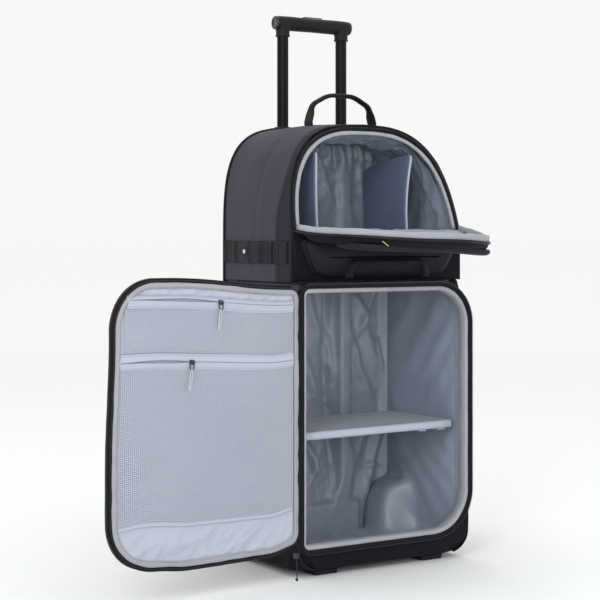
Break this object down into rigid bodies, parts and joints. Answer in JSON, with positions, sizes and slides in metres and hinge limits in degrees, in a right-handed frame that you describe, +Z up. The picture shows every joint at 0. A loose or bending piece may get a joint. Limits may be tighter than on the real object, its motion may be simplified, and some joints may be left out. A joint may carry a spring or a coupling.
{
  "type": "wheeled gear bag",
  "caption": "Upright wheeled gear bag with a telescopic trolley handle, hinged main door, opening upper flap, inner shelf and padded dividers.",
  "frame": {"origin": "on the floor under the middle of the bag's body", "axes": "+X to the bag's right, +Y to its back (the trolley side), +Z up"},
  "size_m": [0.8178, 0.4614, 1.085],
  "materials": {
    "charcoal_fabric": "woven polyester, matt",
    "black_fabric": "woven polyester, matt",
    "black_webbing": "ribbed nylon webbing",
    "lining_fabric": "light coated lining",
    "mesh_fabric": "open square mesh",
    "foam_divider": "brushed fabric over foam",
    "shelf_fabric": "lining fabric over foam board",
    "zip_tape": "coil zip on woven tape",
    "black_plastic": "moulded, fine texture",
    "satin_tube": "satin black anodised tube",
    "hub_plastic": "moulded",
    "wheel_rubber": "moulded rubber tread",
    "bearing_steel": "ground steel",
    "zip_metal": "black lacquered die casting",
    "pull_cord": "thin braided cord"
  },
  "bodies": {
    "bag": {"axle_bolt_left": "bearing_steel", "axle_bolt_right": "bearing_steel", "back_board": "black_fabric", "base_tray": "black_plastic", "front_foot_left": "black_plastic", "front_foot_right": "black_plastic", "front_pocket": "black_fabric", "front_skirt": "black_fabric", "guide_bush_left": "black_plastic", "guide_bush_right": "black_plastic", "lower_front_frame": "black_fabric", "lower_side_left": "charcoal_fabric", "lower_side_right": "charcoal_fabric", "lower_zip_band": "zip_tape", "middle_deck": "black_fabric", "outer_tube_left": "satin_tube", "outer_tube_right": "satin_tube", "side_handle": "black_webbing", "tube_bracket": "black_plastic", "tube_collar": "black_plastic", "tube_covers": "lining_fabric", "upper_front_band": "black_fabric", "upper_front_panel": "black_fabric", "upper_gusset": "charcoal_fabric", "wheel_well_left": "black_plastic", "wheel_well_right": "black_plastic"},
    "trolley": {"inner_tube_left": "satin_tube", "inner_tube_right": "satin_tube", "lock_foot_left": "black_plastic", "lock_foot_right": "black_plastic", "grip": "black_plastic", "grip_cap_left": "black_plastic", "grip_cap_right": "black_plastic"},
    "release_button": {"release_button": "black_plastic"},
    "left_wheel": {"wheel_tyre_left": "wheel_rubber", "wheel_hub_left": "hub_plastic", "wheel_bearings_left": "bearing_steel"},
    "right_wheel": {"wheel_tyre_right": "wheel_rubber", "wheel_hub_right": "hub_plastic", "wheel_bearings_right": "bearing_steel"},
    "main_door": {"door_panel": "lining_fabric", "door_zip_rim": "zip_tape", "door_mesh_upper": "mesh_fabric", "door_mesh_lower": "mesh_fabric", "pocket_zip_upper": "lining_fabric", "pocket_zip_lower": "lining_fabric", "main_zip_slider": "zip_metal", "zip_pull_cord": "pull_cord", "cord_knot": "pull_cord"},
    "upper_slider": {"zip_slider_upper": "zip_metal"},
    "upper_puller": {"zip_puller_upper": "lining_fabric"},
    "lower_slider": {"zip_slider_lower": "zip_metal"},
    "lower_puller": {"zip_puller_lower": "lining_fabric"},
    "upper_flap": {"flap_panel": "black_fabric", "flap_pocket": "black_fabric"},
    "carry_handle": {"carry_handle": "black_webbing"},
    "grab_handle": {"grab_handle": "black_webbing"},
    "shelf": {"shelf": "shelf_fabric"},
    "left_divider": {"divider_left": "foam_divider"},
    "right_divider": {"divider_right": "foam_divider"}
  },
  "joints": [
    {"name": "trolley_slide", "type": "slide", "parent": "bag", "child": "trolley", "axis": [0, 0, 1], "range_m": [-0.186, 0]},
    {"name": "button_press", "type": "slide", "parent": "trolley", "child": "release_button", "axis": [0, 0, 1], "range_m": [-0.004, 0], "stiffness_N_per_m": 600, "springref_m": 0.002},
    {"name": "left_wheel_spin", "type": "hinge", "parent": "bag", "child": "left_wheel", "pos_m": [-0.163, 0.108, 0.041], "axis": [1, 0, 0], "continuous": true},
    {"name": "right_wheel_spin", "type": "hinge", "parent": "bag", "child": "right_wheel", "pos_m": [0.163, 0.108, 0.041], "axis": [1, 0, 0], "continuous": true},
    {"name": "door_hinge", "type": "hinge", "parent": "bag", "child": "main_door", "pos_m": [-0.2065, -0.1505, 0.3], "axis": [0, 0, 1], "range_deg": [-70, 174.4]},
    {"name": "upper_pocket_zip", "type": "slide", "parent": "main_door", "child": "upper_slider", "axis": [-0.9952, -0.0976, 0], "range_m": [-0.155, 0.17]},
    {"name": "lower_pocket_zip", "type": "slide", "parent": "main_door", "child": "lower_slider", "axis": [-0.9952, -0.0976, 0], "range_m": [-0.215, 0.12]},
    {"name": "upper_puller_swing", "type": "hinge", "parent": "upper_slider", "child": "upper_puller", "pos_m": [-0.38924, -0.17234, 0.521], "axis": [0.0976, -0.9952, 0], "range_deg": [-60, 60]},
    {"name": "lower_puller_swing", "type": "hinge", "parent": "lower_slider", "child": "lower_puller", "pos_m": [-0.45194, -0.17848, 0.414], "axis": [0.0976, -0.9952, 0], "range_deg": [-60, 60]},
    {"name": "flap_hinge", "type": "hinge", "parent": "bag", "child": "upper_flap", "pos_m": [0, -0.111, 0.65], "axis": [1, 0, 0], "range_deg": [-111, 0]},
    {"name": "carry_handle_fold", "type": "hinge", "parent": "bag", "child": "carry_handle", "pos_m": [0, 0.02, 0.864], "axis": [1, 0, 0], "range_deg": [-75, 75]},
    {"name": "grab_handle_fold", "type": "hinge", "parent": "bag", "child": "grab_handle", "pos_m": [0, -0.14275, 0.566], "axis": [1, 0, 0], "range_deg": [0, 90]},
    {"name": "shelf_fold", "type": "hinge", "parent": "bag", "child": "shelf", "pos_m": [0, 0.098, 0.27], "axis": [-1, 0, 0], "range_deg": [0, 85]},
    {"name": "left_divider_shift", "type": "slide", "parent": "bag", "child": "left_divider", "axis": [1, 0, 0], "range_m": [-0.025, 0.045]},
    {"name": "right_divider_shift", "type": "slide", "parent": "bag", "child": "right_divider", "axis": [1, 0, 0], "range_m": [-0.045, 0.025]}
  ]
}
